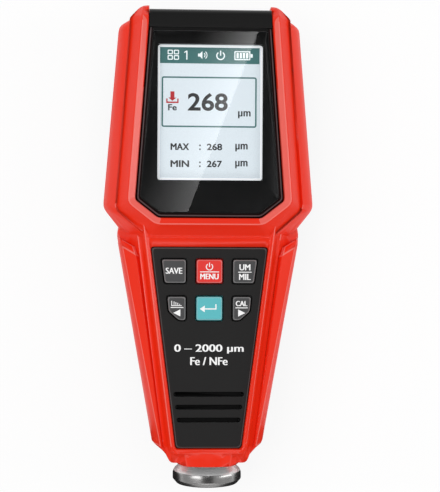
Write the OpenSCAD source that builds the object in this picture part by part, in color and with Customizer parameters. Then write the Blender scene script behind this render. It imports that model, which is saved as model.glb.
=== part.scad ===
// Handheld coating thickness gauge with a sprung measuring probe in its nose.
// It lies on its back: +Z is the display side, +Y the display end and -Y the probe end.
// Lengths along Y are measured from the waist, where the head meets the handle.

/* [Case] */
// Crest of the frame around the display, above the back face
frame_z = 32; // [31.5:0.25:33.5]
// Crest of the rim around the keypad, above the back face
rim_z = 29; // [28.5:0.25:29.5]
// Joint line of the case halves above the back face, level with the probe axis
split_z = 14; // [13.75:0.25:14.5]
// Wall thickness of the case halves
wall = 2; // [1.8:0.1:2.2]
// How far the edges of the back are rounded
back_round = 4; // [3:0.25:4.5]

/* [Head] */
// Length from the waist to the ear tips
head_len = 73; // [72:0.5:78]
// Greatest width, across the hips of the head
head_w = 65.2; // [64:0.2:70]
// Width across the shoulders
shoulder_w = 56; // [55:0.25:60]
// Height of the hips above the waist
hip_y = 12; // [11:0.25:13]
// Width of the sloped wall outside the crest of the display frame
frame_wall = 3.6; // [3.2:0.1:4]
// Width of the chamfer between the crest and the bezel
frame_lip = 2; // [1.6:0.1:2.4]

/* [Handle] */
// Length from the waist to the end of the nose
handle_len = 65.75; // [65:0.25:70]
// Width just below the waist
neck_w = 56.6; // [55:0.2:58]
// Width at the bottom of the taper
taper_w = 34.2; // [33.6:0.2:36]
// Width of the end of the nose
nose_w = 21; // [20.5:0.25:22]

/* [Display] */
// Width of the bezel at its widest
bezel_w = 44.2; // [42:0.2:45]
// Width of the bezel at the forehead
forehead_w = 36.6; // [36:0.2:38]
// Width of the lower edge of the bezel
bezel_low_w = 30.7; // [28:0.1:32]
// Length of the forehead, from its step to the ear tips
forehead_len = 7.75; // [7.25:0.25:8.5]
// Width of the visible screen
screen_w = 31.4; // [30:0.2:32]
// Height of the visible screen
screen_h = 40.6; // [38:0.2:42]
// Thickness of the lens
lens_t = 1.2; // [1:0.1:1.5]

/* [Keypad] */
// Width of the keypad panel at its top
panel_top_w = 35; // [34:0.2:35.6]
// Width of the keypad panel at its bottom
panel_low_w = 19.6; // [19:0.2:20.4]
// Thickness of the keypad panel
panel_t = 2; // [1.8:0.1:2.4]
// Width of the middle keys
key_w = 7.7; // [7:0.1:8]
// Height of the keys, along the handle
key_h = 7; // [6:0.1:7.4]
// Distance between the two rows of keys
key_pitch = 11.1; // [10:0.1:12]
// How far the keys stand above the panel
key_proud = 0.8; // [0.6:0.1:1.2]
// Travel of a key
key_travel = 0.5; // [0.3:0.05:0.6]
// Gap around a key
key_gap = 0.4; // [0.3:0.05:0.5]

/* [Probe] */
// How far the probe stands out of the nose
probe_out = 7.25; // [7:0.25:8]
// Diameter of the measuring ring
ring_d = 21.2; // [20.6:0.2:22]
// Height of the straight band of the measuring ring
ring_band = 3.4; // [3:0.1:3.6]
// Diameter of the neck behind the ring
neck_d = 16.4; // [16:0.1:17]
// Diameter of the guide shaft
shaft_d = 13; // [12.4:0.1:13.2]
// Diameter of the sensor core
core_d = 10; // [9:0.1:10.4]
// Travel of the probe into the nose
probe_travel = 1; // [0.6:0.1:1]
// Diameter of the spring wire
probe_wire = 0.7; // [0.5:0.05:0.8]

/* [Power] */
// Diameter of a cell
cell_d = 10.5; // [10:0.1:10.5]
// Length of a cell with its button
cell_len = 44.5; // [44:0.1:46]
// Thickness of the battery door
door_t = 1.8; // [1.5:0.1:1.8]

/* [Fits] */
// Clearance around inlaid panels and fixed pieces
clearance = 0.15; // [0.1:0.05:0.2]
// Radial running clearance of the guide shaft
running = 0.05; // [0.03:0.01:0.08]

/* [Hidden] */
$fn = 64;
eps = 0.05;
far = 60;

// Colours
red = [0.78, 0.06, 0.12];
black = [0.07, 0.07, 0.075];
dark_grey = [0.2, 0.21, 0.22];
steel = [0.72, 0.72, 0.7];
board_green = [0.05, 0.3, 0.16];

// Middle of the whole part, which becomes the origin
mid_y = (head_len - handle_len - probe_out) / 2;

// Heights of the front stack
panel_z = rim_z - 1;
panel_z0 = panel_z - panel_t;
lens_z = frame_z - 2;
lip_z = lens_z + 0.8;
bezel_t = 2.8;
bezel_z0 = lens_z - bezel_t;
plate_t = 1.6;
flange_t = 1.1;
flange_gap = 0.2;
dome_h = 0.7;
stem_h = 2.8;
stop_gap = 0.1;
board_z1 = panel_z0 - flange_gap - flange_t - stem_h - key_travel - stop_gap - dome_h;
board_t = 1.6;
board_z0 = board_z1 - board_t;
lcd_t = 2.2;
lcd_z0 = bezel_z0 - lcd_t;

// Head outline at the joint line, right half from the chin up to the ear
chin_slope = 0.786;
chin_drop = 14;
shoulder_y = head_len - 5.15;
hip = [head_w / 2, hip_y, split_z];
chin = [head_w / 2 - chin_slope * chin_drop, hip_y - chin_drop, split_z];
shoulder = [shoulder_w / 2, shoulder_y, split_z];
lobe = [shoulder_w / 2 - 3.6, head_len - 3.25, split_z];
notch = [shoulder_w / 2 - 4.3, head_len - 4.05, split_z];
ear_out = [forehead_w / 2 + 2.4, head_len, split_z];
ear_in = [forehead_w / 2 - 1, head_len, split_z];
cap_y = head_len - 1.5;

// Bezel outline, and where the screen sits in it
forehead_y = head_len - forehead_len;
bezel_hip_y = hip_y + 2;
bezel_low_y = hip_y - 3.25;
bezel_top_y = forehead_y + 1.25;
bezel_taper = (bezel_w - forehead_w) / 2 / (bezel_top_y - bezel_hip_y);
crease = frame_lip + frame_wall;
ridge_z = bezel_z0 - 2;
spare_below = 0.7044;
screen_y = bezel_low_y + (forehead_y - bezel_low_y - screen_h) * spare_below + screen_h / 2;
bezel_seat = 0.8;
glue = 0.05;
lens_edge = 1.6;
lens_top_y = forehead_y - 1.1;

// Handle outline
nose_y = -handle_len;
neck_y = 3.65;
taper_y = nose_y + 6;
handle_slope = (neck_w - taper_w) / 2 / (neck_y - taper_y);
under_head_y = 8;
panel_top_y = -0.05;
panel_low_y = nose_y + 5.5;
panel_slope = (panel_top_w - panel_low_w) / 2 / (panel_top_y - panel_low_y);
pad_in = 4;
valley_z = panel_z - 2.8;
nose_flare = 1.1;
nose_block_y = nose_y + 15.75;

// Keys
row_1 = panel_top_y - 7.2;
row_2 = row_1 - key_pitch;
side_key_x = key_w / 2 + 3.2;
save_out = 14.25;
save_out_low = 13.3;
arrow_out = 12.5;
arrow_cut = 3;
side_stem = [(side_key_x + save_out) / 2, row_1];
arrow_stem = [side_key_x + 2.6, row_2 + 0.4];
stem_d = 3;

// Probe along its axis
ring_y = nose_y - probe_out;
ring_chamfer = 1.4;
band_y = ring_y + ring_chamfer + ring_band;
ring_roll = 1;
shoulder_step = (ring_d - neck_d) / 2 * 0.64;
probe_bore = neck_d / 2 + 0.3;
neck_end_y = nose_y + 3.25;
bush_y = neck_end_y + 3.5 + probe_travel;
bush_len = 5;
bush_d = 2 * probe_bore - 2 * clearance;
bush_flange_d = bush_d + 2;
bush_flange_t = 1.5;
clip_y = bush_y + bush_len + 0.1;
clip_t = 0.8;
clip_d = min(shaft_d + 3.4, 2 * probe_bore - 0.6);
clip_groove = 0.5;
shaft_end_y = clip_y + clip_t + 0.6;
tip_d = 3.2;
tip_len = 8;

// Battery bay and its door
plate_contact = 0.4;
spring_len = 3.6;
cell_play = 0.2;
bay_wall = 1.2;
bay_w = 2 * cell_d + 1.6;
bay_y0 = nose_block_y + 1.4;
bay_y1 = bay_y0 + cell_len + spring_len + 2 * plate_contact + cell_play;
cell_x = cell_d / 2 + 0.4;
cell_z = wall + 0.8 + cell_d / 2;
bay_z1 = cell_z + cell_d / 2 + 0.4;
door_ledge = 0.8;
door_gap = 0.2;
door_y0 = bay_y0 - door_ledge;
door_y1 = bay_y1 + door_ledge;
door_w = bay_w + 2 * door_ledge;
tab_x = bay_w / 2 - 1.7;
tab_w = 3;
tab_len = 1.6;
tab_t = 1;

// Fasteners
screw_at = [[shoulder_w / 2 - 7.1, shoulder_y - 8.35], [head_w / 2 - 8.6, hip_y + 5],
    [handle_half(nose_y + 12.25) - 6.8, nose_y + 12.25]];
screw_seat_z = 5;
screw_head_d = 4;
screw_d = 2;
screw_tip_z = split_z + 6;
boss_d = 5.6;
post_at = [[panel_half(nose_y + 32.75) - 2.2, nose_y + 32.75], [bezel_low_w / 2 + 3.2, bezel_low_y + 0.85]];
post_d = 4.4;
board_screw_d = 1.6;
board_screw_head_d = 3.4;
board_screw_head = 1.2;

// Half widths that follow the two tapers of the handle and the side of the bezel
function handle_half(y) = neck_w / 2 - (neck_y - y) * handle_slope;
function panel_half(y) = panel_top_w / 2 - (panel_top_y - y) * panel_slope;
function bezel_half(y) = bezel_w / 2 - (y - bezel_hip_y) * bezel_taper;

// A right half listed from the bottom up, closed by its mirror image
function whole(half) = concat(half, [for (i = [len(half) - 1:-1:0]) [-half[i][0], half[i][1], half[i][2]]]);
function unit(v) = v / norm(v);
function blend(a, b, t) = a * (1 - t) + b * t;
function at_height(c, z) = [for (p = c) [p[0], p[1], z]];
function flat(c) = [for (p = c) [p[0], p[1]]];
function curve(a, p, b, n) = [for (k = [0:n])
    let (t = k / n) (1 - t) * (1 - t) * a + 2 * t * (1 - t) * p + t * t * b];

// Ring of corners with each corner drawn as a curve that starts and ends r away from it
function rounded(c, r, n = 3) = [for (i = [0:len(c) - 1])
    let (p = c[i], a = c[(i + len(c) - 1) % len(c)], b = c[(i + 1) % len(c)],
        ra = min(r, norm(a - p) * 0.45), rb = min(r, norm(b - p) * 0.45))
    each curve(p + unit(a - p) * ra, p, p + unit(b - p) * rb, n)];

// Ring of corners moved outwards by d, or inwards where d is negative
function grown(c, d) = [for (i = [0:len(c) - 1])
    let (p = c[i], a = c[(i + len(c) - 1) % len(c)], b = c[(i + 1) % len(c)],
        u = unit([p[0] - a[0], p[1] - a[1]]), v = unit([b[0] - p[0], b[1] - p[1]]),
        m = [u[1], -u[0]], n = [v[1], -v[0]], k = d / (1 + m * n))
    [p[0] + (m[0] + n[0]) * k, p[1] + (m[1] + n[1]) * k, p[2]]];

// Solid through a stack of rings with the same number of points, closed by fans about low and high
module skin(rings, low, high) {
    n = len(rings[0]);
    m = len(rings);
    polyhedron(points = concat([for (r = rings) each r], [low, high]), faces = concat(
        [for (i = [0:m - 2], j = [0:n - 1]) [i * n + j, (i + 1) * n + j, (i + 1) * n + (j + 1) % n]],
        [for (i = [0:m - 2], j = [0:n - 1]) [i * n + j, (i + 1) * n + (j + 1) % n, i * n + (j + 1) % n]],
        [for (j = [0:n - 1]) [m * n, j, (j + 1) % n]],
        [for (j = [0:n - 1]) [m * n + 1, (m - 1) * n + (j + 1) % n, (m - 1) * n + j]]));
}

// Straight prism over a ring of corners
module prism(c, r, z0, z1) {
    translate([0, 0, z0]) linear_extrude(z1 - z0) polygon(flat(rounded(c, r)));
}

// Block given by its two corners
module block(a, b) {
    translate(a) cube(b - a);
}

// Round bar along Y on the probe axis, from y0 to y1
module bar(d, y0, y1, d2 = 0) {
    translate([0, y0, split_z]) rotate([-90, 0, 0]) cylinder(d1 = d, d2 = d2 == 0 ? d : d2, h = y1 - y0);
}

// Children on the right and on the left
module both_sides() {
    children();
    mirror([1, 0, 0]) children();
}

// Everything is placed with the middle of the part at the origin
module centred() {
    translate([0, -mid_y, 0]) children();
}

// Outlines of the inlaid panels
function bezel_ring(d) = grown(whole([[bezel_low_w / 2, bezel_low_y, 0], [bezel_w / 2, bezel_hip_y, 0],
    [bezel_half(bezel_top_y), bezel_top_y, 0]]), d);
function lens_ring(d) = grown(whole([[bezel_low_w / 2, bezel_low_y, 0], [bezel_w / 2, bezel_hip_y, 0],
    [bezel_half(lens_top_y), lens_top_y + lens_edge, 0]]), d - lens_edge);
function panel_ring(d) = grown(whole([[panel_low_w / 2, panel_low_y, 0],
    [panel_top_w / 2, panel_top_y, 0]]), d);

// Ring of the display frame, d outside the bezel, with its own chin and ear points
function frame_ring(d, z, chin_out, chin_z, drop, ear_back, ear_z) = let (b = bezel_ring(d)) whole([
    [b[0][0] + chin_out, b[0][1], chin_z],
    [b[1][0], b[1][1], z],
    [bezel_half(shoulder_y) + d, shoulder_y - 0.9, z - drop * 0.3],
    [bezel_half(shoulder_y) + d, shoulder_y, z - drop * 0.5],
    [bezel_half(shoulder_y) + d, notch[1], z - drop],
    [min(ear_out[0], bezel_half(head_len) + d), head_len - ear_back, ear_z],
    [ear_in[0], head_len - ear_back, ear_z]]);

// Outer form of the head, from the joint line up over the crease and the crest to the bezel
module head_front() {
    base = whole([chin, hip, shoulder, lobe, notch, ear_out, ear_in]);
    ridge = frame_ring(crease + 0.5, ridge_z, 1, rim_z - 0.5, 0.4, 0, ridge_z - 2.4);
    groove = frame_ring(crease, ridge_z - 0.7, 1, rim_z - 1.1, 0.2, 0.02, ridge_z - 2);
    r = 1.6;
    skin([
        rounded(base, r),
        rounded(at_height(blend(base, ridge, 0.06), split_z + 3), r),
        rounded(blend(at_height(base, split_z + 7), at_height(ridge, split_z + 7), 0.4), r),
        rounded(ridge, r),
        rounded(groove, r),
        rounded(frame_ring(frame_lip + 0.5, frame_z - 0.6, 0, frame_z - 0.6, 1.6, 0.9, frame_z - 6.6), r),
        rounded(frame_ring(frame_lip, frame_z, 0, frame_z, 1.6, 1.6, frame_z - 6), r),
        rounded(frame_ring(0.45, lip_z, 0, lip_z, 1.6, 2.2, frame_z - 6.4), r)],
        [0, chin[1] + 0.5, split_z], [0, screen_y, lip_z]);
}

// Ring of the handle's rim, d outside the keypad panel, running on under the head
function rim_ring(d, z, low = 0) = let (y = panel_low_y - d - low) whole([
    [panel_half(y) * 0.6, y, z],
    [panel_half(y) + d * 0.65, y, z],
    [panel_half(taper_y) + d, taper_y, z],
    [panel_half(neck_y) + d, neck_y, z],
    [panel_half(under_head_y) + d, under_head_y, z]]);

// Outer form of the handle between the side pads
module handle_front() {
    in = 0.6;
    base = whole([[nose_w / 2, nose_y, split_z], [nose_w / 2 + nose_flare, nose_y + 1, split_z],
        [taper_w / 2 - in, taper_y, split_z], [neck_w / 2, neck_y, split_z],
        [neck_w / 2 - 0.8, under_head_y, split_z]]);
    valley = rim_ring(3.7, valley_z, 1.1);
    r = 1.4;
    skin([
        rounded(base, r),
        rounded(at_height(blend(base, valley, 0.1), split_z + 3), r),
        rounded(at_height(blend(base, valley, 0.65), split_z + 7), r),
        rounded(valley, r),
        rounded(rim_ring(2.3, valley_z + 0.4, 0.6), r),
        rounded(rim_ring(1.7, rim_z - 0.8), r),
        rounded(rim_ring(1.3, rim_z), r),
        rounded(rim_ring(0.45, rim_z - 0.7), r)],
        [0, nose_y / 2, split_z], [0, nose_y / 2, rim_z - 0.7]);
}

// Section of the right side pad: ys where it meets the silhouette, top the height of its inner edge
function pad_section(ys, half, inner, top, skew) = [for (p = [
    [inner - 0.5, split_z], [half, split_z], [half, split_z + 2.2],
    [half - 0.8, split_z + (top - split_z) * 0.6], [half - 1.6, split_z + (top - split_z) * 0.74],
    [inner + 0.6, top], [inner, top - 0.2], [inner - 0.5, top - 1.6]])
    [p[0], ys - (half - p[0]) * skew, p[1]]];

// Right side pad, chamfered at its top end and running out at the nose
module side_pad() {
    top = valley_z + 0.8;
    skew = 0.55;
    lug_y = 2.9;
    low_y = nose_y + 2.2;
    rings = [
        pad_section(lug_y, handle_half(lug_y) - 0.3, panel_half(lug_y) + pad_in + 0.6, top - 2.6, skew),
        pad_section(lug_y - 2, handle_half(lug_y - 2), panel_half(lug_y - 2) + pad_in, top, skew),
        pad_section(taper_y, taper_w / 2, panel_half(taper_y) + pad_in, top, 0),
        pad_section(low_y, nose_w / 2 + 2.4, nose_w / 2 + 0.6, top - 1.4, 0)];
    skin(rings, [for (k = [0:2]) (rings[0][1][k] + rings[0][6][k]) / 2],
        [for (k = [0:2]) (rings[3][1][k] + rings[3][6][k]) / 2]);
}

// Section of the arched spine that runs out over the nose
function spine_section(y, half, top) = [for (p = [[0.86, -0.42], [0.66, -0.1], [0.34, -0.02], [0, 0],
    [-0.34, -0.02], [-0.66, -0.1], [-0.86, -0.42], [-1, -1], [1, -1]]) [half * p[0], y, top + 8 * p[1]]];

module nose_spine() {
    rings = [spine_section(panel_low_y - 0.8, nose_w * 0.52, rim_z - 0.3),
        spine_section(nose_y + 2.2, nose_w * 0.49, rim_z - 0.45),
        spine_section(nose_y, nose_w * 0.46, rim_z - 0.6)];
    skin(rings, [0, panel_low_y - 0.8, rim_z - 5], [0, nose_y, rim_z - 5]);
}

// Hollows of the two case halves
module front_hollow() {
    base = whole([[chin[0] - wall, chin[1], split_z - eps],
        [hip[0] - wall * 1.15, hip_y + 0.8, split_z - eps],
        [shoulder[0] - wall - 1.2, shoulder_y - 3.5, split_z - eps]]);
    b = bezel_ring(crease - wall - 0.6);
    top = whole([[b[0][0], b[0][1], bezel_z0 - wall], [b[1][0], b[1][1], bezel_z0 - wall],
        [bezel_half(forehead_y - 2) + 2.4, forehead_y - 2, bezel_z0 - wall]]);
    skin([rounded(base, 2), rounded(at_height(blend(base, top, 0.35), split_z + 6), 2), rounded(top, 2)],
        [0, screen_y, split_z - eps], [0, screen_y, bezel_z0 - wall]);
    handle_base = whole([[handle_half(nose_block_y) - wall - 0.8, nose_block_y, split_z - eps],
        [handle_half(under_head_y) - wall - 2, under_head_y, split_z - eps]]);
    grid_z = panel_z0 - plate_t;
    handle_mid = whole([[panel_half(nose_block_y) + 2, nose_block_y, grid_z - 3],
        [panel_half(under_head_y) + 2, under_head_y, grid_z - 3]]);
    handle_top = whole([[panel_half(nose_block_y) + 0.8, nose_block_y, grid_z],
        [panel_half(under_head_y) + 0.8, under_head_y, grid_z]]);
    skin([rounded(handle_base, 2), rounded(handle_mid, 2), rounded(handle_top, 2)],
        [0, nose_y / 2, split_z - eps], [0, nose_y / 2, grid_z]);
}

// Room for the probe's neck, spring, bush and clip
module probe_pocket() {
    bar(2 * probe_bore, nose_y - 1, nose_block_y + 1);
    bar(bush_flange_d + 2 * clearance, bush_y + 1 - clearance, bush_y + 1 + bush_flange_t + clearance);
}

module key_well() {
    top_y = row_1 + key_h / 2 + 1.4;
    low_y = row_2 - key_h / 2 - 1.4;
    prism(whole([[panel_half(low_y) - 1.4, low_y, 0], [panel_half(top_y) - 1.4, top_y, 0]]), 1,
        panel_z0 - plate_t - 1, panel_z0 + eps);
}

module front_case() color(red) centred() difference() {
    union() {
        difference() {
            union() {
                head_front();
                handle_front();
                both_sides() side_pad();
                nose_spine();
            }
            front_hollow();
        }
        both_sides() {
            for (p = [screw_at[0], screw_at[1]])
                translate([p[0], p[1], split_z]) cylinder(d = boss_d, h = bezel_z0 - wall - split_z + eps);
            for (p = post_at)
                translate([p[0], p[1], board_z1]) cylinder(d = post_d, h = bezel_z0 - wall - board_z1 + eps);
        }
    }
    prism(bezel_ring(clearance), 0.8, bezel_z0, far);
    prism(bezel_ring(-bezel_seat), 0.8, bezel_z0 - wall - 1, far);
    block([-forehead_w / 2 - clearance, forehead_y - 1, split_z - eps],
        [forehead_w / 2 + clearance, head_len + 1, far]);
    prism(panel_ring(clearance), 1.1, panel_z0, far);
    key_well();
    probe_pocket();
    both_sides() {
        for (p = screw_at)
            translate([p[0], p[1], split_z - eps]) cylinder(d = screw_d + 0.1, h = screw_tip_z - split_z + 1);
        for (p = post_at)
            translate([p[0], p[1], board_z1 - eps]) cylinder(d = board_screw_d + 0.1, h = 3);
    }
}

// Rear outlines at the joint line
function rear_head(d) = grown(whole([chin, hip, shoulder, [shoulder[0] - 2.6, head_len - 3.4, split_z],
    [forehead_w / 2 + 0.2, cap_y, split_z]]), d);
function rear_handle(d) = grown(whole([[nose_w / 2, nose_y, split_z], [taper_w / 2, taper_y, split_z],
    [neck_w / 2, neck_y, split_z], [neck_w / 2 - 0.8, under_head_y, split_z]]), d);

// Rounded back of one outline: inset and height of each ring, as shares of the rounding and the joint line
back_steps = [[0, 1], [0.1, 0.62], [0.36, 0.3], [0.7, 0.1], [1, 0]];

module head_rear() {
    skin([for (i = [len(back_steps) - 1:-1:0])
        rounded(at_height(rear_head(-back_round * back_steps[i][0]), split_z * back_steps[i][1]), 1.6)],
        [0, screen_y, 0], [0, screen_y, split_z]);
}

module handle_rear() {
    skin([for (i = [len(back_steps) - 1:-1:0])
        rounded(at_height(rear_handle(-back_round * back_steps[i][0]), split_z * back_steps[i][1]), 1.4)],
        [0, nose_y / 2, 0], [0, nose_y / 2, split_z]);
}

module rear_hollow() {
    head = whole([[chin[0] - wall, chin[1], 0], [hip[0] - wall * 1.15, hip_y + 0.8, 0],
        [shoulder[0] - wall - 0.6, shoulder_y - 1, 0], [forehead_w / 2, cap_y - wall, 0]]);
    skin([rounded(at_height(grown(head, -back_round), wall), 2),
        rounded(at_height(grown(head, -back_round * 0.3), split_z * 0.4), 2),
        rounded(at_height(head, split_z + eps), 2)], [0, screen_y, wall], [0, screen_y, split_z + eps]);
    handle = whole([[handle_half(nose_block_y) - wall - 0.8, nose_block_y, 0],
        [handle_half(under_head_y) - wall - 2, under_head_y, 0]]);
    skin([rounded(at_height(grown(handle, -back_round), wall), 2),
        rounded(at_height(grown(handle, -back_round * 0.3), split_z * 0.4), 2),
        rounded(at_height(handle, split_z + eps), 2)], [0, nose_y / 2, wall], [0, nose_y / 2, split_z + eps]);
}

module rear_case() color(black) centred() difference() {
    union() {
        difference() {
            union() {
                head_rear();
                handle_rear();
            }
            rear_hollow();
        }
        block([-bay_w / 2 - bay_wall, bay_y0 - bay_wall, wall - eps],
            [bay_w / 2 + bay_wall, bay_y1 + bay_wall, bay_z1 + bay_wall]);
        both_sides() for (p = [screw_at[0], screw_at[1]])
            translate([p[0], p[1], wall - eps]) cylinder(d = screw_head_d + 2.2, h = split_z - wall + eps);
    }
    block([-bay_w / 2, bay_y0, -1], [bay_w / 2, bay_y1, bay_z1]);
    block([-door_w / 2, door_y0, -1], [door_w / 2, door_y1, wall]);
    both_sides() {
        block([tab_x - tab_w / 2 - door_gap, bay_y1 - eps, wall - eps],
            [tab_x + tab_w / 2 + door_gap, door_y1 + tab_len + 1, wall + 3]);
        for (p = screw_at) {
            translate([p[0], p[1], -1]) cylinder(d = screw_head_d + 0.4, h = screw_seat_z + 1);
            translate([p[0], p[1], 0]) cylinder(d = screw_d + 0.4, h = split_z + 1);
        }
    }
    translate([0, door_y0, -1]) cylinder(d = 9, h = 1 + wall * 0.6);
    probe_pocket();
}

// Black bezel with its bevelled edge, lens seat, screen window and rolled forehead
module display_bezel() color(black) centred() difference() {
    union() {
        skin([rounded(at_height(bezel_ring(0), bezel_z0), 0.8),
            rounded(at_height(bezel_ring(0), lens_z - 1), 0.8),
            rounded(at_height(bezel_ring(-1.3), lens_z), 0.8)],
            [0, screen_y, bezel_z0], [0, screen_y, lens_z]);
        rotate([90, 0, 90]) translate([0, 0, -forehead_w / 2]) linear_extrude(forehead_w) polygon(concat(
            [[forehead_y, bezel_z0], [cap_y - wall - 0.8, bezel_z0 - 1.2], [cap_y - wall, bezel_z0 - 4],
                [cap_y - wall, split_z], [cap_y, split_z]],
            curve([cap_y, bezel_z0 - 2.4], [cap_y, lens_z - 2.4], [cap_y - 2.2, lens_z - 1.3], 5),
            [[forehead_y + 0.4, lens_z + 0.5], [forehead_y, lens_z + 0.2]]));
    }
    prism(lens_ring(clearance), 0.8, lens_z - lens_t, lens_z + eps);
    block([-screen_w / 2, screen_y - screen_h / 2, 0], [screen_w / 2, screen_y + screen_h / 2, far]);
}

// Clear window on a film of glue
module display_lens() color([0.75, 0.8, 0.85, 0.4]) centred()
    prism(lens_ring(0), 0.8, lens_z - lens_t + glue, lens_z);

// Display module behind the bezel
lcd_edge = 1.1;
lcd_tail = 3.4;
tray_wall = 0.6;
lcd_y0 = screen_y - screen_h / 2 - lcd_tail;
lcd_y1 = screen_y + screen_h / 2 + lcd_edge;

module lcd_panel() color([0.9, 0.92, 0.95]) centred()
    block([-screen_w / 2 - lcd_edge, lcd_y0, lcd_z0], [screen_w / 2 + lcd_edge, lcd_y1, bezel_z0 - glue]);

module lcd_tray() color([0.85, 0.85, 0.83]) centred() difference() {
    block([-screen_w / 2 - lcd_edge - tray_wall, lcd_y0 - tray_wall, board_z1],
        [screen_w / 2 + lcd_edge + tray_wall, lcd_y1 + tray_wall, bezel_z0 - tray_wall]);
    block([-screen_w / 2 - lcd_edge - eps, lcd_y0 - eps, lcd_z0],
        [screen_w / 2 + lcd_edge + eps, lcd_y1 + eps, far]);
    block([-7, lcd_y0 - 1, lcd_z0], [7, lcd_y0 + 1, far]);
}

// Flat cable from the display down to its connector on the board
flex_w = 12;
flex_t = 0.25;
flex_y = lcd_y0 - 4.8;

module lcd_flex() color([0.8, 0.5, 0.15]) centred() rotate([90, 0, 90]) translate([0, 0, -flex_w / 2])
    linear_extrude(flex_w) polygon([[lcd_y0 - eps, lcd_z0 + 0.6], [flex_y + 1, lcd_z0 + 0.6],
        [flex_y, lcd_z0 - 0.4], [flex_y, board_z1 + 0.8], [flex_y + flex_t, board_z1 + 0.8],
        [flex_y + flex_t, lcd_z0 - 0.5], [flex_y + 1, lcd_z0 + 0.6 - flex_t],
        [lcd_y0 - eps, lcd_z0 + 0.6 - flex_t]]);

// Key outlines as corner rings, d outside the key
function centre_key(y, d) = grown([[key_w / 2, y - key_h / 2, 0], [key_w / 2, y + key_h / 2, 0],
    [-key_w / 2, y + key_h / 2, 0], [-key_w / 2, y - key_h / 2, 0]], d);
function side_key(d) = grown([[side_key_x, row_1 - key_h / 2, 0], [save_out_low, row_1 - key_h / 2, 0],
    [save_out, row_1 + key_h / 2, 0], [side_key_x, row_1 + key_h / 2, 0]], d);
function arrow_key(d) = grown([[side_key_x, row_2 - key_h / 2, 0],
    [arrow_out - 0.4 - arrow_cut, row_2 - key_h / 2, 0],
    [arrow_out - 0.4, row_2 - key_h / 2 + arrow_cut * 0.9, 0], [arrow_out, row_2 + key_h / 2, 0],
    [side_key_x, row_2 + key_h / 2, 0]], d);

// One key: bevelled cap, flange below the panel, and stem over its switch dome
module key(c, flange, at) {
    top = panel_z + key_proud;
    low = panel_z0 - flange_gap;
    skin([rounded(at_height(c, low - eps), 0.7), rounded(at_height(c, top - 0.35), 0.7),
        rounded(at_height(grown(c, -0.45), top), 0.6)], [at[0], at[1], low - eps], [at[0], at[1], top]);
    prism(flange, 0.9, low - flange_t, low);
    translate([at[0], at[1], low - flange_t - stem_h]) cylinder(d = stem_d, h = stem_h + eps);
}

// Key on the left or right, drawn from its right-hand outline
module handed(side) {
    if (side < 0) mirror([1, 0, 0]) children();
    else children();
}

flange_out = 0.8;

module key_save() color(dark_grey) centred() handed(-1)
    key(side_key(0), side_key(flange_out), side_stem);
module key_menu() color(red) centred()
    key(centre_key(row_1, 0), centre_key(row_1, flange_out), [0, row_1]);
module key_unit() color(dark_grey) centred() handed(1)
    key(side_key(0), side_key(flange_out), side_stem);
module key_left() color(dark_grey) centred() handed(-1)
    key(arrow_key(0), arrow_key(flange_out), arrow_stem);
module key_enter() color([0.1, 0.62, 0.68]) centred()
    key(centre_key(row_2, 0), centre_key(row_2, flange_out), [0, row_2]);
module key_right() color(dark_grey) centred() handed(1)
    key(arrow_key(0), arrow_key(flange_out), arrow_stem);

// Switch domes on the board, one under each stem
dome_at = [[0, row_1], side_stem, [-side_stem[0], side_stem[1]],
    [0, row_2], arrow_stem, [-arrow_stem[0], arrow_stem[1]]];
dome_d = 6;

module key_domes() color(steel) centred() for (p = dome_at)
    translate([p[0], p[1], board_z1]) cylinder(d1 = dome_d, d2 = stem_d - 0.6, h = dome_h);

// Keypad inlay with bevelled edge, key holes and three grooves
groove_h = 1.5;
groove_deep = 1.2;
groove_pitch = 3.85;
groove_y = panel_low_y + 8.5;

module keypad_panel() color(black) centred() difference() {
    skin([rounded(at_height(panel_ring(0), panel_z0), 1), rounded(at_height(panel_ring(0), panel_z - 0.5), 1),
        rounded(at_height(panel_ring(-0.6), panel_z), 1)],
        [0, nose_y / 2, panel_z0], [0, nose_y / 2, panel_z]);
    for (r = [row_1, row_2]) prism(centre_key(r, key_gap), 0.8, 0, far);
    both_sides() {
        prism(side_key(key_gap), 0.8, 0, far);
        prism(arrow_key(key_gap), 0.8, 0, far);
    }
    for (k = [0:2]) {
        y = groove_y + k * groove_pitch;
        half = panel_half(y) - 1.3 - groove_h / 2;
        block([-half, y - groove_h / 2, panel_z - groove_deep], [half, y + groove_h / 2, far]);
        both_sides() translate([half, y, panel_z - groove_deep]) cylinder(d = groove_h, h = far);
    }
}

// Main board, stepped round the case bosses
module main_board() color(board_green) centred() difference() {
    low_y = nose_block_y + 4;
    step_y = screw_at[0][1] - boss_d / 2 - 1;
    mid_half = post_at[1][0] + post_d / 2;
    top_half = screw_at[0][0] - boss_d / 2 - 0.4;
    translate([0, 0, board_z0]) linear_extrude(board_t) polygon(flat(whole([
        [panel_half(low_y) + 0.4, low_y, 0], [panel_half(2) + 0.4, 2, 0], [mid_half, bezel_low_y - 2.5, 0],
        [mid_half, step_y, 0], [top_half, step_y + 1, 0], [top_half, forehead_y - 2.6, 0]])));
    both_sides() for (p = post_at)
        translate([p[0], p[1], board_z0 - 1]) cylinder(d = board_screw_d + 0.3, h = board_t + 2);
}

// Chips under the board, the display connector on it and the probe connector below it
lead_plug_y = nose_block_y + 6;
chip = [10, 10, 1.4];
memory = [6, 8, 1.2];
plug = [6, 4, 2.6];
flex_socket = 1.6;

module under_board(size, x, y) {
    translate([x, y, board_z0 - size[2]]) cube(size);
}

module board_parts() color([0.1, 0.1, 0.11]) centred() {
    under_board(chip, -chip[0] / 2, screen_y - chip[1]);
    under_board(memory, -screen_w / 2, screen_y - chip[1] - memory[1]);
    under_board(plug, -plug[0] / 2, lead_plug_y);
    block([-flex_w / 2 - 1, flex_y - flex_socket, board_z1],
        [flex_w / 2 + 1, flex_y - clearance, board_z1 + flex_socket]);
}

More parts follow.
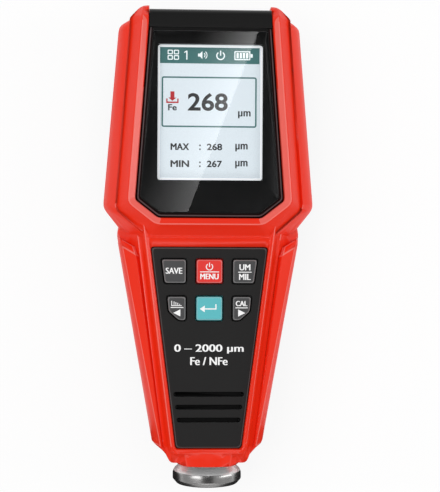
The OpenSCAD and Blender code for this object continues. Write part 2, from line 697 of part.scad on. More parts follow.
buzzer_d = 12;
buzzer_h = 3.4;
buzzer_hole_d = 1.6;

module buzzer() color(black) centred()
    translate([screen_w / 2 - buzzer_d * 0.4, screen_y + buzzer_d * 0.65, board_z0 - buzzer_h]) difference() {
        cylinder(d = buzzer_d, h = buzzer_h);
        translate([0, 0, -eps]) cylinder(d = buzzer_hole_d, h = buzzer_h / 3);
    }

// Screw with its head at the low end, pointing up
module screw(d, head_d, head, seat_z, tip_z) {
    translate([0, 0, seat_z - head]) cylinder(d = head_d, h = head);
    translate([0, 0, seat_z - eps]) cylinder(d = d, h = tip_z - seat_z);
}

module case_screws() color(steel) centred() both_sides() for (p = screw_at)
    translate([p[0], p[1], 0]) screw(screw_d, screw_head_d, 1.6, screw_seat_z, screw_tip_z);

module board_screws() color(steel) centred() both_sides() for (p = post_at)
    translate([p[0], p[1], 0])
        screw(board_screw_d, board_screw_head_d, board_screw_head, board_z0, board_z1 + 2.4);

// Cell standing on its flat end at y, with its button towards +Y or -Y
cell_button_d = 3.8;
cell_button = 0.8;

module cell(x, y, turned) {
    translate([x, turned ? y + cell_len : y, cell_z]) rotate([turned ? 90 : -90, 0, 0]) {
        cylinder(d = cell_d, h = cell_len - cell_button);
        cylinder(d = cell_button_d, h = cell_len);
    }
}

left_cell_y = bay_y1 - plate_contact - cell_len;
right_cell_y = bay_y0 + plate_contact;

module cell_left() color([0.25, 0.27, 0.3]) centred() cell(-cell_x, left_cell_y, false);
module cell_right() color([0.25, 0.27, 0.3]) centred() cell(cell_x, right_cell_y, true);

// Coil of round wire along +Y from y0 to y1, about a line at x and z
function coil_points(x, z, r, y0, y1, wire, turns, steps, sides) = [for (i = [0:turns * steps])
    let (a = 360 * i / steps, y = y0 + wire / 2 + (y1 - y0 - wire) * i / (turns * steps))
    [for (k = [0:sides - 1]) let (b = -360 * k / sides, q = r + wire / 2 * cos(b))
        [x + q * cos(a), y + wire / 2 * sin(b), z - q * sin(a)]]];

module coil(x, z, r, y0, y1, wire, turns, steps = 16, sides = 6) {
    rings = coil_points(x, z, r, y0, y1, wire, turns, steps, sides);
    last = len(rings) - 1;
    skin(rings, [for (k = [0:2]) (rings[0][0][k] + rings[0][sides / 2][k]) / 2],
        [for (k = [0:2]) (rings[last][0][k] + rings[last][sides / 2][k]) / 2]);
}

module battery_springs() color(steel) centred() {
    coil(-cell_x, cell_z, 3, bay_y0 + plate_contact, left_cell_y, 0.6, 3);
    coil(cell_x, cell_z, 3, right_cell_y + cell_len, bay_y1 - plate_contact, 0.6, 3);
}

module battery_plates() color(steel) centred() both_sides()
    for (y = [bay_y0, bay_y1 - plate_contact])
        block([cell_x - 4, y, cell_z - 3.6], [cell_x + 4, y + plate_contact, cell_z + 4]);

// Battery door with two hook tabs at its upper edge and grip ridges at its lower end
module battery_door() color(black) centred() difference() {
    union() {
        block([-door_w / 2 + door_gap, door_y0 + door_gap, wall - door_t],
            [door_w / 2 - door_gap, door_y1 - door_gap, wall]);
        both_sides() rotate([90, 0, 90]) translate([0, 0, tab_x - tab_w / 2]) linear_extrude(tab_w) polygon([
            [door_y1 - 1, wall - 0.4], [door_y1 - door_gap - eps, wall - 0.4],
            [door_y1 - door_gap - eps, wall + 0.1], [door_y1 + tab_len, wall + 0.1],
            [door_y1 + tab_len, wall + 0.1 + tab_t], [door_y1 - 1, wall + 0.1 + tab_t]]);
    }
    for (k = [0:3]) block([-6, door_y0 + 6 + k * 1.8, 0], [6, door_y0 + 6.8 + k * 1.8, wall - door_t + 0.5]);
}

// Turned steel sleeve: measuring ring, shoulder, neck and guide shaft, with a circlip groove
module probe_sleeve() color(steel) centred() difference() {
    union() {
        translate([0, ring_y, split_z]) rotate([-90, 0, 0]) rotate_extrude() polygon(concat(
            [[0, 0], [ring_d / 2 - 1.2, 0], [ring_d / 2, ring_chamfer]],
            curve([ring_d / 2, ring_chamfer + ring_band * 0.4], [ring_d / 2, ring_chamfer + ring_band * 0.8],
                [ring_d / 2 - ring_roll, ring_chamfer + ring_band], 5),
            [[neck_d / 2, ring_chamfer + ring_band + shoulder_step], [neck_d / 2, neck_end_y - ring_y],
                [0, neck_end_y - ring_y]]));
        bar(shaft_d, neck_end_y - eps, shaft_end_y);
    }
    bar(core_d, ring_y - 1, shaft_end_y + 1);
    difference() {
        bar(shaft_d + 2, clip_y - 0.05, clip_y + clip_t + 0.05);
        bar(shaft_d - 2 * clip_groove, clip_y - 1, clip_y + clip_t + 1);
    }
    bar(core_d + 4.4, ring_y - eps, ring_y + 1.1, core_d);
}

module probe_core() color([0.12, 0.12, 0.13]) centred() difference() {
    bar(core_d - 2 * running, ring_y + 0.5, shaft_end_y);
    bar(tip_d + 2 * running, ring_y - 1, ring_y + tip_len);
}

// Hard pole tip with a rounded end, level with the face of the ring
module probe_tip() color([0.85, 0.83, 0.78]) centred()
    translate([0, ring_y, split_z]) rotate([-90, 0, 0]) rotate_extrude() polygon(concat(
        [for (a = [0:15:90]) [tip_d / 2 * sin(a), tip_d / 2 * (1 - cos(a)) * 0.6]],
        [[tip_d / 2, tip_len], [0, tip_len]]));

module probe_spring() color(steel) centred()
    coil(0, split_z, shaft_d / 2 + 0.3 + probe_wire / 2, neck_end_y, bush_y, probe_wire, 3, 20);

module probe_bush() color([0.75, 0.6, 0.3]) centred() difference() {
    union() {
        bar(bush_d, bush_y, bush_y + bush_len);
        bar(bush_flange_d, bush_y + 1, bush_y + 1 + bush_flange_t);
    }
    bar(shaft_d + 2 * running, bush_y - 1, bush_y + bush_len + 1);
}

// Circlip, open on its lower side
module probe_clip() color(dark_grey) centred() difference() {
    bar(clip_d, clip_y, clip_y + clip_t);
    bar(shaft_d - 2 * clip_groove + 0.1, clip_y - 1, clip_y + clip_t + 1);
    block([-2.5, clip_y - 1, split_z - clip_d], [2.5, clip_y + clip_t + 1, split_z]);
}

// Lead from the sensor core to its plug on the board, as a tube along hand-set points past the core
lead_d = 1.4;
lead_points = [[0, shaft_end_y + eps, split_z], [0, shaft_end_y + 0.8, split_z],
    [0, shaft_end_y + 1.6, split_z + 1.6], [0, shaft_end_y + 2.4, board_z0 - 2.2],
    [0, lead_plug_y - 1.5, board_z0 - 1.4], [0, lead_plug_y, board_z0 - 1.4]];

module sensor_lead() color([0.2, 0.2, 0.22]) centred() {
    n = len(lead_points);
    rings = [for (i = [0:n - 1])
        let (t = unit(lead_points[min(i + 1, n - 1)] - lead_points[max(i - 1, 0)]))
        [for (k = [0:7]) let (a = -45 * k)
            lead_points[i] + lead_d / 2 * (cos(a) * [1, 0, 0] + sin(a) * [0, -t[2], t[1]])]];
    skin(rings, lead_points[0], lead_points[n - 1]);
}

front_case();
rear_case();
display_bezel();
display_lens();
lcd_panel();
lcd_tray();
lcd_flex();
keypad_panel();
key_save();
key_menu();
key_unit();
key_left();
key_enter();
key_right();
key_domes();
main_board();
board_parts();
buzzer();
board_screws();
case_screws();
cell_left();
cell_right();
battery_springs();
battery_plates();
battery_door();
probe_sleeve();
probe_core();
probe_tip();
probe_spring();
probe_bush();
probe_clip();
sensor_lead();
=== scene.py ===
"""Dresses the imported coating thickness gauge: finishes, screen, legends, probe and stage."""

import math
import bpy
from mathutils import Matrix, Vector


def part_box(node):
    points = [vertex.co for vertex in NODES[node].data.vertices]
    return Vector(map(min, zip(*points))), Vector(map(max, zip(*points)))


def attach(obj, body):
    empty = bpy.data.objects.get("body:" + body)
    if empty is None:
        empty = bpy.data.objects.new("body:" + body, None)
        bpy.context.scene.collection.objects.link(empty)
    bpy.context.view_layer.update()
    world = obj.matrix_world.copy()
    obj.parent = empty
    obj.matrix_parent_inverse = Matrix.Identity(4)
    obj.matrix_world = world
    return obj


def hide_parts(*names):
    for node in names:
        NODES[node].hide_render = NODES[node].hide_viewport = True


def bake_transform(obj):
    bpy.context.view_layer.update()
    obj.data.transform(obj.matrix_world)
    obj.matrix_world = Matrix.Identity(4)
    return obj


bl_info = {
    "name": "Coating thickness gauge",
    "version": (1, 0, 0),
    "blender": (4, 5, 0),
    "location": "3D View > Sidebar > Gauge",
    "description": "Gives the packed gauge its finishes, screen, legends and stage",
    "category": "Object",
}

import bmesh
import bpy
from bpy.props import FloatProperty, FloatVectorProperty, PointerProperty, StringProperty
from mathutils import Matrix, Vector

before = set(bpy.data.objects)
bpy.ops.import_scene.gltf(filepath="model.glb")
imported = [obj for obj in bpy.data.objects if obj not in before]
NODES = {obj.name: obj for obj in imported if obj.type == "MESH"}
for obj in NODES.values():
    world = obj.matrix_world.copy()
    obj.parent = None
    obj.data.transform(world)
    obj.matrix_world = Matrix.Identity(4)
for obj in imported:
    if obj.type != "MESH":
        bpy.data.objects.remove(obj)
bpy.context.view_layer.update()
MM = 0.001
INK = 0.02  # thickness of printed and lit marks, in millimetres
LIFT = 0.01  # gap that keeps a mark off the face below it, in millimetres
MERGE = 0.00002  # corners of a CAD mesh that are closer than this are one, in metres
WIRE_MERGE = 0.000004  # the same for the thin spring and lead, in metres
SLIVER = 0.000001  # faces and edges smaller than this are dissolved, in metres
FLAT = math.radians(0.6)  # neighbours that turn less than this lie in one face
SENSOR = 36  # camera sensor along the longer side of the picture, in millimetres
FOCAL_ROWS = 1144.8  # focal length in rows of the picture
PICTURE_ROWS = 492


def colour(name, description, default):
    """A colour property in linear light."""
    return FloatVectorProperty(
        name=name, description=description, default=default, subtype="COLOR", size=3, min=0, max=1
    )


def length(name, description, default_mm):
    """A length property, with its default given in millimetres."""
    return FloatProperty(
        name=name, description=description, default=default_mm * MM, unit="LENGTH", min=0, precision=5
    )


def turn(name, description, degrees):
    """An angle property, with its default given in degrees."""
    return FloatProperty(name=name, description=description, default=math.radians(degrees), subtype="ANGLE")


class GaugeCase(bpy.types.PropertyGroup):
    """Finish of the case halves and the black inlays."""

    shell: colour("Shell", "Colour of the moulded front case", (0.86, 0.026, 0.006))
    back: colour("Back", "Colour of the back half and its door", (0.022, 0.022, 0.024))
    inlay: colour("Inlay", "Colour of the keypad panel", (0.017, 0.0165, 0.0165))
    bezel: colour("Bezel", "Colour of the frame behind the lens", (0.004, 0.004, 0.004))
    # Painted highlight: a pale colour laid on the front case's rounded edges and inner lip, where they
    # would catch the light.
    painted_highlight: colour("Highlight", "Colour of the rubbed edges of the front case", (0.88, 0.2, 0.17))
    edge: length("Edge", "Rounding of the moulded edges", 0.25)
    grain: length("Grain", "Size of the moulded texture", 0.25)


class GaugeScreen(bpy.types.PropertyGroup):
    """Colours of the display and what it shows."""

    paper: colour("Paper", "Lit background of the screen", (0.62, 0.68, 0.715))
    ink: colour("Ink", "Dark figures", (0.006, 0.0065, 0.008))
    bar: colour("Bar", "Header bar and box line", (0.04, 0.14, 0.135))
    mark: colour("Mark", "Red measuring mark", (0.42, 0.014, 0.02))
    glow: FloatProperty(name="Glow", description="Strength of the back light", default=0.3, min=0, max=1)
    reading: StringProperty(name="Reading", description="Large figure on the screen", default="268")


class GaugeKeys(bpy.types.PropertyGroup):
    """Colours of the keys and their legends."""

    plain: colour("Plain keys", "Colour of the four side keys", (0.053, 0.053, 0.055))
    menu: colour("Menu key", "Colour of the upper middle key", (0.77, 0.022, 0.014))
    enter: colour("Enter key", "Colour of the lower middle key", (0.098, 0.49, 0.53))
    legend: colour("Legends", "Colour of the printed legends", (0.94, 0.94, 0.94))
    edge: length("Edge", "Rounding of the caps", 0.12)


class GaugeProbe(bpy.types.PropertyGroup):
    """Finish of the measuring probe."""

    steel: colour("Steel", "Colour of the turned steel", (0.38, 0.376, 0.372))
    turning: length("Turning", "Spacing of the turning lines", 0.3)
    satin: colour("Satin", "Colour of the matt neck behind the ring", (0.8, 0.8, 0.8))
    shoulder: length("Shoulder", "Where the matt neck starts behind the ring's face", 3.9)
    edge: length("Edge", "Rounding of the ring", 0.2)


class GaugeStage(bpy.types.PropertyGroup):
    """Floor, lights and camera."""

    floor: colour("Floor", "Colour of the floor", (0.93, 0.93, 0.93))
    height: length("Height", "Camera above the floor", 370)
    aside: length("Aside", "Camera to the left of the gauge", 12.4)
    ahead: length("Ahead", "Camera towards the display end", 0.25)
    yaw: turn("Yaw", "Sideways turn of the camera", 2.6)
    roll: turn("Roll", "Turn of the camera in the frame", 0.3)
    focal: FloatProperty(
        name="Focal", description="Focal length in frame heights", default=FOCAL_ROWS / PICTURE_ROWS
    )


class Wire:
    """A shader socket that takes part in Python arithmetic."""

    def __init__(self, finish, socket):
        self.finish = finish
        self.socket = socket

    def maths(self, operation, first, second):
        """Adds a Math node."""
        return self.finish.node("ShaderNodeMath", {"operation": operation}, {0: first, 1: second})

    def __add__(self, other):
        return self.maths("ADD", self, other)

    def __sub__(self, other):
        return self.maths("SUBTRACT", self, other)

    def __rsub__(self, other):
        return self.maths("SUBTRACT", other, self)

    def __mul__(self, other):
        return self.maths("MULTIPLY", self, other)

    def above(self, limit):
        """1 where the value is above the limit."""
        return self.maths("GREATER_THAN", self, limit)

    def below(self, limit):
        """1 where the value is below the limit."""
        return self.maths("LESS_THAN", self, limit)

    __radd__ = __add__
    __rmul__ = __mul__


class Finish:
    """A node material; node() adds a node and gives one of its outputs as a Wire."""

    def __init__(self, name, base, roughness, **fixed):
        self.material = bpy.data.materials.new(name)
        self.material.use_nodes = True
        self.tree = self.material.node_tree
        self.shader = self.tree.nodes["Principled BSDF"]
        self.feed(self.shader, {"Base Color": (*base, 1), "Roughness": roughness})
        self.feed(self.shader, {key.replace("_", " ").title(): value for key, value in fixed.items()})
        self.base = Vector(base)

    def feed(self, node, sockets):
        """Links or sets the inputs of a node."""
        for key, value in sockets.items():
            if isinstance(value, Wire):
                self.tree.links.new(value.socket, node.inputs[key])
            else:
                node.inputs[key].default_value = value

    def node(self, kind, settings, sockets, output=0):
        """Adds a node with its settings and inputs, and gives one output."""
        made = self.tree.nodes.new(kind)
        for key, value in settings.items():
            setattr(made, key, value)
        self.feed(made, sockets)
        return Wire(self, made.outputs[output])

    def place(self, scale):
        """Object coordinates, stretched by scale."""
        plain = self.node("ShaderNodeTexCoord", {}, {}, "Object")
        return self.node("ShaderNodeMapping", {}, {"Vector": plain, "Scale": scale})

    def along(self, axis, kind="Object"):
        """One part of the object coordinates in metres, or of the surface normal."""
        place = self.node("ShaderNodeTexCoord", {}, {}, kind)
        return self.node("ShaderNodeSeparateXYZ", {}, {0: place}, axis)

    def noise(self, size, detail=2.0, stretch=(1, 1, 1)):
        """Noise of about that size in metres, from 0 to 1."""
        sockets = {"Vector": self.place(stretch), "Scale": 1 / size, "Detail": detail}
        return self.node("ShaderNodeTexNoise", {}, sockets)

    def between(self, factor, low, high):
        """Mix of two colours, of which the low one may be a Wire."""
        low = low if isinstance(low, Wire) else (*low, 1)
        return self.node("ShaderNodeMix", {"data_type": "RGBA"}, {0: factor, 6: low, 7: (*high, 1)}, 2)

    def relief(self, height, depth):
        """Bump of that depth in metres on the shader's normal."""
        bump = self.node("ShaderNodeBump", {}, {"Height": height, "Distance": depth, "Strength": 1.0})
        self.feed(self.shader, {"Normal": bump})

    def vary(self, factor, spread):
        """Base colour that varies by spread on either side."""
        high = [min(1.0, part * (1 + spread)) for part in self.base]
        self.feed(self.shader, {"Base Color": self.between(factor, self.base * (1 - spread), high)})

    def band(self, low, high):
        """1 between two heights and 0 elsewhere."""
        height = self.along(2)
        return height.above(low) * height.below(high)

    def facing_in(self):
        """1 where the surface faces the middle of the gauge from the left or right."""
        return (self.along(0) * self.along(0, "Normal")).below(-MM)

    def highlit(self):
        """1 on the rounded outer edges of a softened piece, where a highlight is painted."""
        return self.node("ShaderNodeAttribute", {"attribute_name": "highlit"}, {}, "Fac")

    def overlay(self, mask, paint):
        """Another base colour where the mask is 1."""
        under = Wire(self, self.shader.inputs["Base Color"].links[0].from_socket)
        self.feed(self.shader, {"Base Color": self.between(mask, under, paint)})

    def show(self, factor, first, second):
        """Mixes the first outputs of two shaders by a factor, as the surface."""
        mixed = self.tree.nodes.new("ShaderNodeMixShader")
        self.feed(mixed, {0: factor, 1: Wire(self, first.outputs[0]), 2: Wire(self, second.outputs[0])})
        self.tree.links.new(mixed.outputs[0], self.tree.nodes["Material Output"].inputs["Surface"])


def plastic(name, base, roughness, grain, depth, coat=0.0, spread=0.06, shine=0.5):
    """Moulded plastic: fine even texture, faint cloudiness and a little uneven shine."""
    made = Finish(name, base, roughness, coat_weight=coat, coat_roughness=0.15)
    made.feed(made.shader, {"Specular IOR Level": shine})
    fine = made.noise(grain, 3.0)
    cloud = made.noise(0.018, 3.0)
    made.vary(cloud * 0.7 + fine * 0.3, spread)
    made.feed(made.shader, {"Roughness": roughness - 0.1 + cloud * 0.12 + fine * 0.08})
    made.relief(fine, depth)
    return made


def moulded(*look, **more):
    """Moulded plastic without anything over it."""
    return plastic(*look, **more).material


def lathed(name, base, roughness, pitch, stretch):
    """Turned or brushed metal: lines across the stretch, with colour and shine that follow them."""
    made = Finish(name, base, roughness, metallic=1.0)
    lines = made.noise(pitch, 2.0, stretch)
    cloud = made.noise(0.006, 2.0)
    made.vary(lines * 0.8 + cloud * 0.2, 0.12)
    made.feed(made.shader, {"Roughness": roughness - 0.05 + lines * 0.08 + cloud * 0.04})
    made.relief(lines, 0.000004)
    return made


def turned(*look):
    """Turned metal without anything over it."""
    return lathed(*look).material


def printed(name, base, roughness=0.5, glow=0.0):
    """Printed or lit marks, with a faint unevenness of the ink."""
    made = Finish(name, base, roughness, emission_strength=glow)
    speck = made.noise(0.0006, 2.0)
    made.vary(speck, 0.05)
    made.feed(made.shader, {"Emission Color": (*base, 1), "Roughness": roughness - 0.05 + speck * 0.1})
    return made.material


def clear_lens(name):
    """Clear window: what lies behind shows, and the surface mirrors a little by its angle."""
    made = Finish(name, (1, 1, 1), 0.02, metallic=1.0)
    smear = made.noise(0.009, 2.0)
    made.feed(made.shader, {"Roughness": 0.012 + smear * 0.016})
    through = made.tree.nodes.new("ShaderNodeBsdfTransparent")
    through.inputs["Color"].default_value = (0.99, 0.995, 1, 1)
    outside = 1 - made.node("ShaderNodeNewGeometry", {}, {}, "Backfacing")
    mirror = made.node("ShaderNodeFresnel", {}, {"IOR": 1.45}) * outside
    made.show(mirror, through, made.shader)
    return made.material


def wear(node, material):
    """Gives a carried-over CAD node its finish."""
    data = NODES[node].data
    data.materials.clear()
    data.materials.append(material)


def solid(name, bm, material, smooth=35.0):
    """Turns a bmesh into an object of one finish."""
    mesh = bpy.data.meshes.new(name)
    bm.to_mesh(mesh)
    bm.free()
    mesh.materials.append(material)
    mesh.shade_smooth()
    mesh.set_sharp_from_angle(angle=math.radians(smooth))
    made = bpy.data.objects.new(name, mesh)
    bpy.context.scene.collection.objects.link(made)
    return made


def giving(node, name, material):
    """A merged copy of a CAD node, for the parts that run between the probe and the gauge."""
    bm = bmesh.new()
    bm.from_mesh(NODES[node].data)
    bmesh.ops.remove_doubles(bm, verts=bm.verts, dist=WIRE_MERGE)
    made = solid(name, bm, material)
    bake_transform(made)
    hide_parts(node)


def piece(name, bm, material, body, stands_for=(), smooth=35.0):
    """Turns a bmesh into a piece that rides on a body."""
    made = solid(name, bm, material, smooth)
    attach(made, body)
    if stands_for:
        even_out(made)
        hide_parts(*stands_for)
    return made


def even_out(made):
    """Weighs the normals by area, so that flat faces stay flat beside rounded edges."""
    made.modifiers.new("normals", "WEIGHTED_NORMAL").keep_sharp = True
    bpy.context.view_layer.update()
    plain = made.data
    made.data = bpy.data.meshes.new_from_object(made.evaluated_get(bpy.context.evaluated_depsgraph_get()))
    made.modifiers.clear()
    bpy.data.meshes.remove(plain)
    made.data.name = made.name


def softened(node, width, angle=22.0, room=0.0, upward=False):
    """A merged copy of a CAD node with its outer edges rounded.

    An edge is rounded where it turns by more than the angle, and where the faces beside it are broader than
    room times the width. The rounds carry the attribute highlit, which marks where a highlight is painted.
    """
    bm = bmesh.new()
    bm.from_mesh(NODES[node].data)
    highlit = bm.faces.layers.float.new("highlit")
    bmesh.ops.remove_doubles(bm, verts=bm.verts, dist=MERGE)
    bmesh.ops.dissolve_limit(
        bm, angle_limit=FLAT, verts=bm.verts, edges=bm.edges, use_dissolve_boundaries=False
    )
    bm.normal_update()

    def takes(face):
        """Whether a face is broad enough for a round beside it, and on the wanted side."""
        breadth = face.calc_area() / max(edge.calc_length() for edge in face.edges)
        return breadth > room * width and (face.normal.z > 0 or not upward)

    sharp = math.radians(angle)
    outer = [
        edge for edge in bm.edges
        if edge.is_convex and edge.calc_face_angle() > sharp and all(map(takes, edge.link_faces))
    ]
    bmesh.ops.triangulate(bm, faces=[face for face in bm.faces if len(face.verts) > 4])
    rounds = bmesh.ops.bevel(
        bm, geom=outer, offset=width, offset_type="OFFSET", segments=2, profile=0.5,
        affect="EDGES", loop_slide=False, material=-1,
    )["faces"]
    for face in rounds:
        face[highlit] = 1.0
    bmesh.ops.dissolve_degenerate(bm, dist=SLIVER, edges=bm.edges)
    return bm


def thicken(part):
    """Gives the flat faces of a bmesh in millimetres the thickness of a mark."""
    grown = bmesh.ops.extrude_face_region(part, geom=part.faces[:])["geom"]
    tops = [item for item in grown if isinstance(item, bmesh.types.BMVert)]
    bmesh.ops.translate(part, vec=(0, 0, INK), verts=tops)


def slab(bm, corners, low):
    """A flat mark over corners in millimetres."""
    part = bmesh.new()
    part.faces.new([part.verts.new((x, y, low)) for x, y in corners])
    thicken(part)
    take_up(bm, part, Matrix.Scale(MM, 4))


def bar(bm, x0, y0, x1, y1, low):
    """An upright rectangle between two corners."""
    slab(bm, [(x0, y0), (x1, y0), (x1, y1), (x0, y1)], low)


def arc(bm, centre, radius, width, start, sweep, low, steps=20):
    """A stroke along part of a circle, angles in degrees."""
    part = bmesh.new()
    ends = [part.verts.new((radius + side * width / 2, 0, 0)) for side in (-1, 1)]
    edge = part.edges.new(ends)
    facing = Matrix.Rotation(math.radians(start), 3, "Z")
    bmesh.ops.rotate(part, verts=ends, cent=(0, 0, 0), matrix=facing)
    bmesh.ops.spin(
        part, geom=[*ends, edge], cent=(0, 0, 0), axis=(0, 0, 1), angle=math.radians(sweep),
        steps=steps, use_merge=sweep >= 360,
    )
    thicken(part)
    take_up(bm, part, Matrix.Translation(Vector((*centre, low)) * MM) @ Matrix.Scale(MM, 4))


def outline(bm, x0, y0, x1, y1, radius, width, low):
    """A rounded rectangular line."""
    part = bmesh.new()
    part.faces.new([part.verts.new((x, y, low)) for x, y in ((x0, y0), (x1, y0), (x1, y1), (x0, y1))])
    bmesh.ops.bevel(
        part, geom=part.verts[:], offset=radius, offset_type="OFFSET", segments=5, profile=0.5,
        affect="VERTICES", material=-1,
    )
    inner = part.faces[:]
    bmesh.ops.inset_region(part, faces=inner, thickness=width, use_even_offset=True, use_boundary=True)
    bmesh.ops.delete(part, geom=inner, context="FACES")
    thicken(part)
    take_up(bm, part, Matrix.Scale(MM, 4))


def take_up(bm, part, place):
    """Adds one bmesh to another, moved to its place."""
    bmesh.ops.transform(part, matrix=place, verts=part.verts)
    bmesh.ops.recalc_face_normals(part, faces=part.faces)
    holder = bpy.data.meshes.new("holder")
    part.to_mesh(holder)
    part.free()
    bm.from_mesh(holder)
    bpy.data.meshes.remove(holder)


def bold(bm, text, box, low, stroke):
    """Writes text twice, a stroke apart, where widening the letters would break their outlines."""
    x0, y0, x1, y1 = box
    lettering(bm, text, (x0, y0, x1 - stroke, y1), low)
    lettering(bm, text, (x0 + stroke, y0, x1, y1), low + INK / 2)


def lettering(bm, text, box, low, weight=0.0):
    """Writes text so that its ink fills the box (x0, y0, x1, y1), in millimetres."""
    curve = bpy.data.curves.new("lettering", "FONT")
    curve.body = text
    curve.offset = weight
    curve.extrude = 0.5
    curve.resolution_u = 4
    holder = bpy.data.objects.new("lettering", curve)
    bpy.context.scene.collection.objects.link(holder)
    bpy.context.view_layer.update()
    mesh = bpy.data.meshes.new_from_object(holder.evaluated_get(bpy.context.evaluated_depsgraph_get()))
    bpy.data.objects.remove(holder)
    bpy.data.curves.remove(curve)
    part = bmesh.new()
    part.from_mesh(mesh)
    bpy.data.meshes.remove(mesh)
    bmesh.ops.remove_doubles(part, verts=part.verts, dist=0.00001)
    reach = [[pick(v.co[axis] for v in part.verts) for pick in (min, max)] for axis in (0, 1)]
    scale = [(box[axis + 2] - box[axis]) / (reach[axis][1] - reach[axis][0]) for axis in (0, 1)]
    shift = [box[axis] - reach[axis][0] * scale[axis] for axis in (0, 1)]
    spot = Matrix.Translation(Vector((*shift, low + INK / 2)) * MM)
    take_up(bm, part, spot @ Matrix.Diagonal((scale[0] * MM, scale[1] * MM, INK * MM, 1)))


class GAUGE_OT_case(bpy.types.Operator):
    """Front case with softened edges, back half and battery door"""

    bl_idname = "gauge.case"
    bl_label = "Case"

    def execute(self, context):
        look = context.scene.gauge_case
        shell = plastic("red_moulding", look.shell, 0.4, look.grain, 0.000008, shine=0.1)
        upward = shell.along(2, "Normal")
        sheen_from = 0.55  # rise of the surface normal at which the sheen starts
        sheen = upward.above(sheen_from) * (upward - sheen_from) * 1.2
        shell.feed(shell.shader, {"Coat Weight": sheen})
        # Painted shade: the end face of the nose is painted near-black, so the probe below mirrors it dark
        # as if in shade.
        nose_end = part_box("front_case")[0].y + LIFT * MM
        shell.overlay(shell.along(1).below(nose_end), (0.01, 0.01, 0.01))
        # Painted highlight: the inner lip above the lens, facing the middle, is painted paler in place of
        # the light it catches.
        above_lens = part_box("display_lens")[1].z + 0.5 * MM
        lip_highlight = shell.along(2).above(above_lens) * shell.facing_in()
        shell.overlay(lip_highlight * 0.6, look.painted_highlight)
        # Painted highlight on the rounded edges: a share of the pale colour, less of it on the nose.
        above_nose = shell.along(1).above(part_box("keypad_panel")[0].y - MM)
        nose_highlight, more_highlight = 0.2, 0.5  # share of the painted highlight on the nose, and what the rest has more
        shell.overlay(shell.highlit() * (above_nose * more_highlight + nose_highlight), look.painted_highlight)
        shell = shell.material
        back = moulded("black_moulding", look.back, 0.55, look.grain * 2, 0.00004)
        front = softened("front_case", look.edge, room=2.0, upward=True)
        piece("front_shell", front, shell, "gauge", ["front_case"])
        rear = softened("rear_case", look.edge * 0.6, room=2.0)
        piece("rear_shell", rear, back, "gauge", ["rear_case"])
        door = softened("battery_door", look.edge * 0.4, room=2.0)
        piece("door_shell", door, back, "door", ["battery_door"])
        return {"FINISHED"}


class GAUGE_OT_display(bpy.types.Operator):
    """Bezel, clear lens and lit display"""

    bl_idname = "gauge.display"
    bl_label = "Display"

    def execute(self, context):
        look = context.scene.gauge_case
        bezel = plastic("bezel_black", look.bezel, 0.34, look.grain, 0.000006, shine=0.15)
        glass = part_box("display_lens")[1]
        # Painted highlight: a pale grey band on the bevel round the lens stands in for the light its edge
        # catches.
        bevel = bezel.band(glass.z - 0.7 * MM, glass.z - 0.4 * MM) * bezel.along(1).below(glass.y + MM)
        bezel.overlay(bevel, (0.13, 0.13, 0.135))
        surround = softened("display_bezel", look.edge * 0.4, room=2.0)
        piece("bezel_frame", surround, bezel.material, "gauge", ["display_bezel"])
        wear("display_lens", clear_lens("lens_clear"))
        screen = context.scene.gauge_screen
        wear("lcd_panel", printed("screen_paper", screen.paper, 0.4, screen.glow))
        return {"FINISHED"}


SCREEN_PX = (210.0, 112.15)  # middle of the screen in the layout grid
SCREEN_MM = (0.0, 40.25)  # middle of the screen on the part
GRID = 0.29944  # millimetres per layout step
LIT_HALF = (52.4, 67.55)  # half the lit area in the layout grid


def grid_box(x0, y0, x1, y1):
    """A box of the screen's layout grid, in millimetres on the part."""
    return (
        (x0 - SCREEN_PX[0]) * GRID + SCREEN_MM[0],
        (SCREEN_PX[1] - y1) * GRID + SCREEN_MM[1],
        (x1 - SCREEN_PX[0]) * GRID + SCREEN_MM[0],
        (SCREEN_PX[1] - y0) * GRID + SCREEN_MM[1],
    )


def grid_point(x, y):
    """A point of the screen's layout grid, in millimetres on the part."""
    return grid_box(x, y, x, y)[:2]


